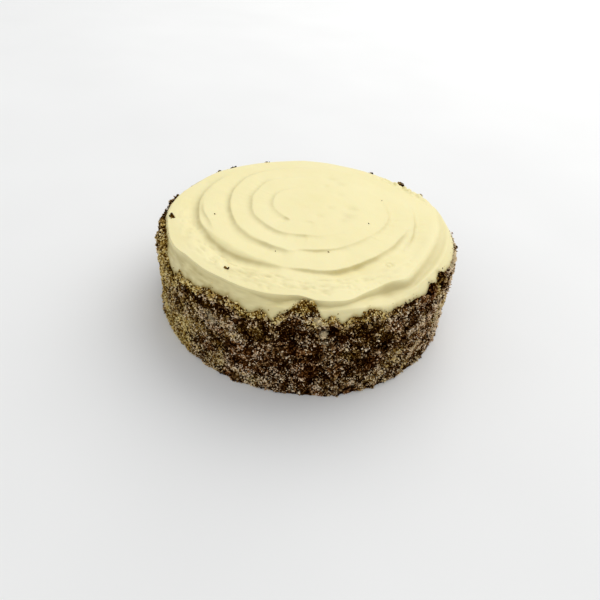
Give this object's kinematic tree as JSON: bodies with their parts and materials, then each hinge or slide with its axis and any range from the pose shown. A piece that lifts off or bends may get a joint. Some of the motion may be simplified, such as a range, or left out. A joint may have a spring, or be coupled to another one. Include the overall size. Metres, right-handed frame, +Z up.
{
  "type": "banana cake",
  "caption": "Round uncut banana cake, iced with pale cream swirled flat on top, its side coated in dark crumbs up to an uneven line below the rim.",
  "frame": {"origin": "middle of the cake's foot, on the surface it stands on", "axes": "+Z up, -Y towards the side shown in the picture, +X to that side's right"},
  "size_m": [0.1966, 0.197, 0.0686],
  "materials": {
    "cream": "soft satin whipped cream icing",
    "crumbs": "coarse matt cake crumbs"
  },
  "bodies": {
    "root": {"iced_cake": "cream", "crumb_coat": "crumbs"}
  },
  "joints": []
}
